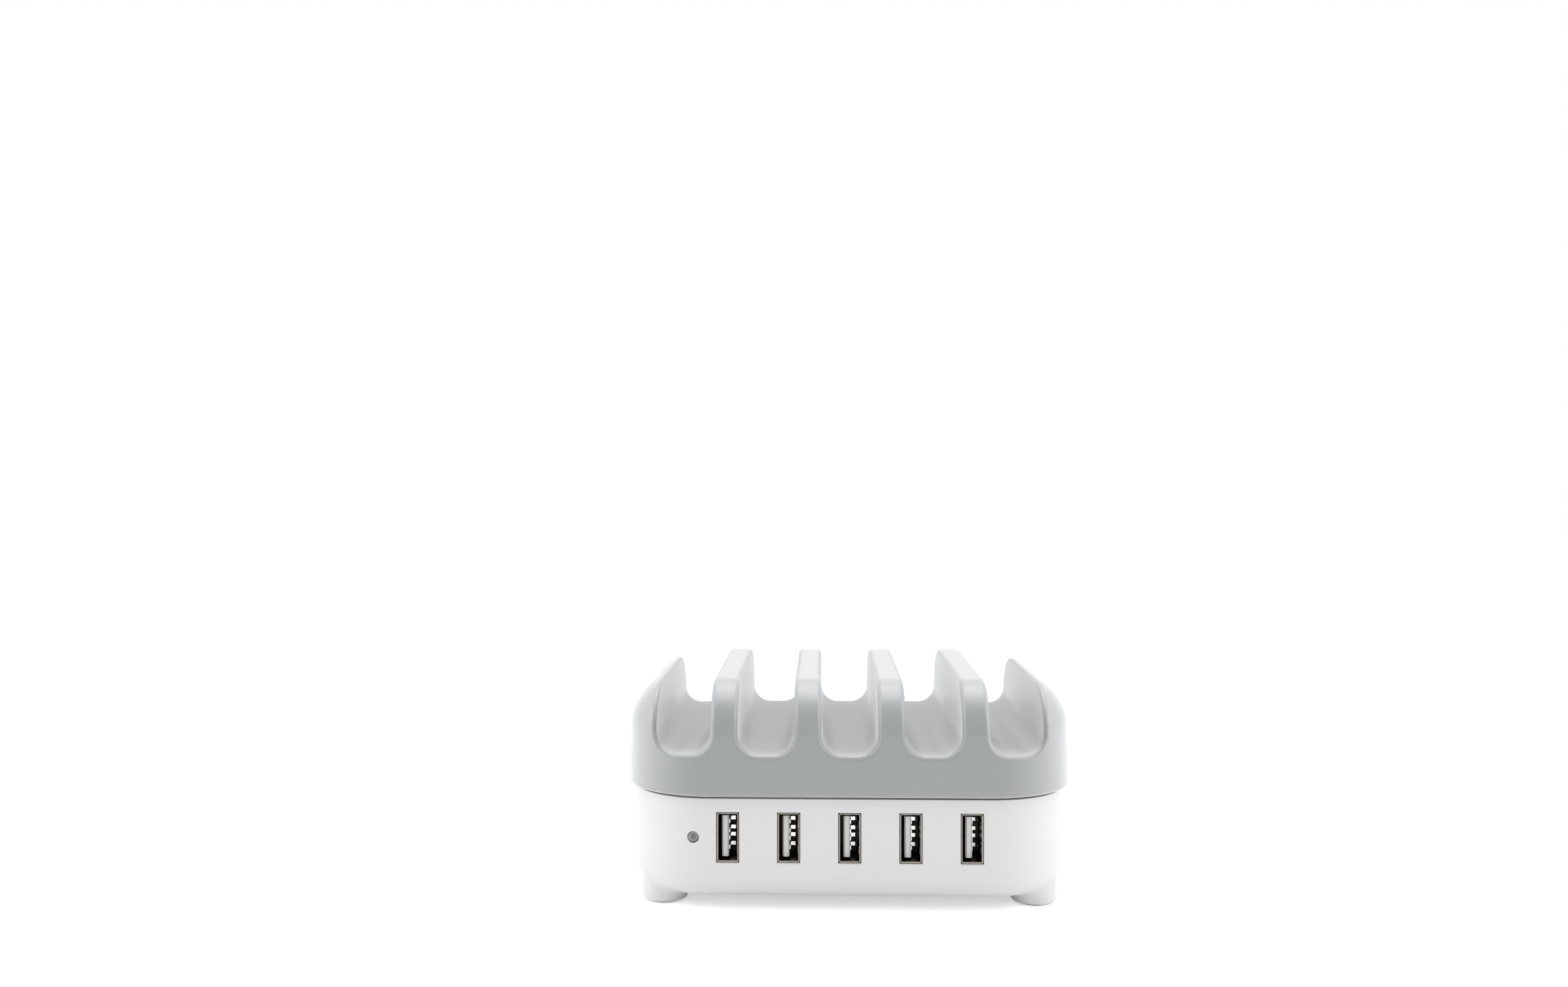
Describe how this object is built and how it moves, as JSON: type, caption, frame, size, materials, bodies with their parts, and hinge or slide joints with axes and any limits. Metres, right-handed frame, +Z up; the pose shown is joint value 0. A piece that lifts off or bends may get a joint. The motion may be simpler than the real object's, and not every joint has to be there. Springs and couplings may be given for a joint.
{
  "type": "multi port usb desktop charger",
  "caption": "Low desktop charger with upright sockets in a white base, under a grey cover whose slots hold phones and tablets on edge.",
  "frame": {"origin": "on the ground, under the middle of the four feet", "axes": "+X to the right as seen from the front, -Y out of the sockets, +Z up"},
  "size_m": [0.125, 0.098, 0.0619],
  "materials": {
    "cover_grey": "fine satin grain",
    "base_white": "smooth satin",
    "pad_rubber": "matt",
    "screw_steel": "zinc plated",
    "socket_steel": "bright nickel",
    "socket_white": "satin",
    "contact_metal": "plated",
    "lamp_lens": "diffused lens",
    "tinned_lead": "tinned",
    "board_green": "solder mask",
    "inlet_black": "satin",
    "component_black": "moulded",
    "film_yellow": "moulded",
    "can_sleeve": "sleeved can",
    "ferrite": "sintered",
    "winding": "enamelled wire",
    "winding_tape": "tape",
    "sink_aluminium": "bare extrusion"
  },
  "bodies": {
    "root": {"top_cover": "cover_grey", "base_housing": "base_white", "case_screws": "screw_steel", "board_screws": "screw_steel", "main_board": "board_green", "status_lamp": "lamp_lens", "lamp_leads": "tinned_lead", "inlet_body": "inlet_black", "inlet_pins": "contact_metal", "fuse": "component_black", "filter_capacitor": "film_yellow", "bridge_rectifier": "component_black", "optocoupler": "component_black", "bulk_capacitor": "can_sleeve", "output_capacitors": "can_sleeve", "choke_core": "ferrite", "choke_coils": "winding", "transformer_core": "ferrite", "transformer_coil": "winding_tape", "heat_sink": "sink_aluminium", "power_transistor": "component_black", "port_chips": "component_black", "foot_pad_front_left": "pad_rubber", "foot_pad_front_right": "pad_rubber", "foot_pad_rear_left": "pad_rubber", "foot_pad_rear_right": "pad_rubber", "usb_shell_1": "socket_steel", "usb_insulator_1": "socket_white", "usb_contacts_1": "contact_metal", "usb_shell_2": "socket_steel", "usb_insulator_2": "socket_white", "usb_contacts_2": "contact_metal", "usb_shell_3": "socket_steel", "usb_insulator_3": "socket_white", "usb_contacts_3": "contact_metal", "usb_shell_4": "socket_steel", "usb_insulator_4": "socket_white", "usb_contacts_4": "contact_metal", "usb_shell_5": "socket_steel", "usb_insulator_5": "socket_white", "usb_contacts_5": "contact_metal"}
  },
  "joints": []
}
